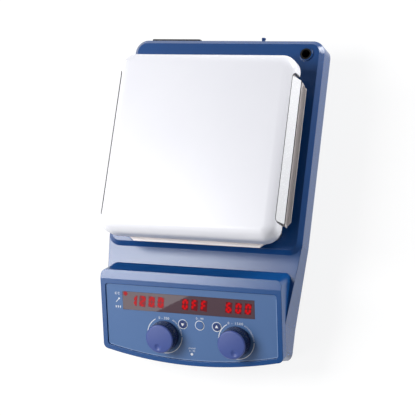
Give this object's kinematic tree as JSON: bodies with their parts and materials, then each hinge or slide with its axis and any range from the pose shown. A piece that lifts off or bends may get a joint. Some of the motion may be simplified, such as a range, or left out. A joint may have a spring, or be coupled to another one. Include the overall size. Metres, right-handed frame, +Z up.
{
  "type": "hotplate magnetic stirrer",
  "caption": "Flat square white hotplate over a blue housing with a sloped control console, knobs, push buttons, a display and a motor-driven magnet bar beneath the plate.",
  "frame": {"origin": "on the bench, under the middle of the bounding box", "axes": "+Z up, +Y from the console towards the rear wall, +X to the right as seen by someone who faces the console"},
  "size_m": [0.205, 0.3356, 0.112],
  "materials": {
    "housing_paint": "semi-gloss",
    "console_blue": "semi-gloss",
    "overlay_blue": "satin",
    "knob_blue": "satin",
    "button_blue": "satin",
    "smoked_window": "gloss",
    "indicator_lens": "gloss",
    "led_modules": "gloss",
    "board_green": "satin",
    "steel": "brushed",
    "black_plastic": "matt",
    "plate_white": "gloss",
    "carrier_white": "gloss",
    "heater_aluminium": "satin",
    "insulation": "matt",
    "shield_steel": "brushed",
    "winding": "satin",
    "magnet_ferrite": "matt",
    "brass": "satin",
    "fuse_glass": "gloss",
    "base_black": "matt",
    "foot_rubber": "matt",
    "peg_blue": "satin"
  },
  "bodies": {
    "base": {"housing": "housing_paint", "base_pan": "base_black", "rubber_feet": "foot_rubber", "foot_screws": "steel", "base_screws": "steel", "console": "console_blue", "console_screws": "steel", "overlay": "overlay_blue", "display_window": "smoked_window", "led_modules": "led_modules", "control_board": "board_green", "board_screws": "steel", "encoder_bodies": "steel", "encoder_nuts": "steel", "button_switches": "black_plastic", "indicator": "indicator_lens", "plate_pan": "plate_white", "plate_carrier": "carrier_white", "carrier_screws": "steel", "heater_plate": "heater_aluminium", "insulation_pad": "insulation", "heat_shield": "shield_steel", "standoffs": "steel", "standoff_screws": "steel", "temperature_sensor": "steel", "motor_can": "steel", "motor_bracket": "steel", "motor_screws": "steel", "bearings": "steel", "stator": "winding", "power_board": "board_green", "transformer": "winding", "board_parts": "black_plastic", "board_pillars": "brass", "inlet_body": "black_plastic", "inlet_pins": "brass", "probe_socket": "steel", "probe_pins": "brass", "cable_peg": "peg_blue"},
    "drive": {"rotor": "steel", "magnet_yoke": "steel", "magnets": "magnet_ferrite"},
    "heat_control": {"heat_knob": "knob_blue", "heat_shaft": "steel"},
    "speed_control": {"speed_knob": "knob_blue", "speed_shaft": "steel"},
    "down_key": {"down_button": "button_blue"},
    "mode_key": {"mode_button": "button_blue"},
    "up_key": {"up_button": "button_blue"},
    "drawer": {"fuse_drawer": "black_plastic", "fuse": "fuse_glass"},
    "rocker": {"power_rocker": "black_plastic"}
  },
  "joints": [
    {"name": "drive_spin", "type": "hinge", "parent": "base", "child": "drive", "pos_m": [0, 0.04026, 0.05], "axis": [0, 0, 1], "continuous": true},
    {"name": "heat_knob_turn", "type": "hinge", "parent": "base", "child": "heat_control", "pos_m": [-0.02802, -0.14139, 0.0554], "axis": [0, 0.4344, -0.9007], "continuous": true},
    {"name": "speed_knob_turn", "type": "hinge", "parent": "base", "child": "speed_control", "pos_m": [0.04701, -0.14139, 0.0554], "axis": [0, 0.4344, -0.9007], "continuous": true},
    {"name": "down_button_press", "type": "slide", "parent": "base", "child": "down_key", "axis": [0, 0.4344, -0.9007], "range_m": [0, 0.0005], "stiffness_N_per_m": 1500},
    {"name": "mode_button_press", "type": "slide", "parent": "base", "child": "mode_key", "axis": [0, 0.4344, -0.9007], "range_m": [0, 0.0005], "stiffness_N_per_m": 1500},
    {"name": "up_button_press", "type": "slide", "parent": "base", "child": "up_key", "axis": [0, 0.4344, -0.9007], "range_m": [0, 0.0005], "stiffness_N_per_m": 1500},
    {"name": "fuse_drawer_slide", "type": "slide", "parent": "base", "child": "drawer", "axis": [0, 1, 0], "range_m": [0, 0.016]},
    {"name": "power_rocker_tip", "type": "hinge", "parent": "base", "child": "rocker", "pos_m": [-0.04306, 0.15826, 0.03808], "axis": [-1, 0, 0], "range_deg": [0, 14]}
  ]
}
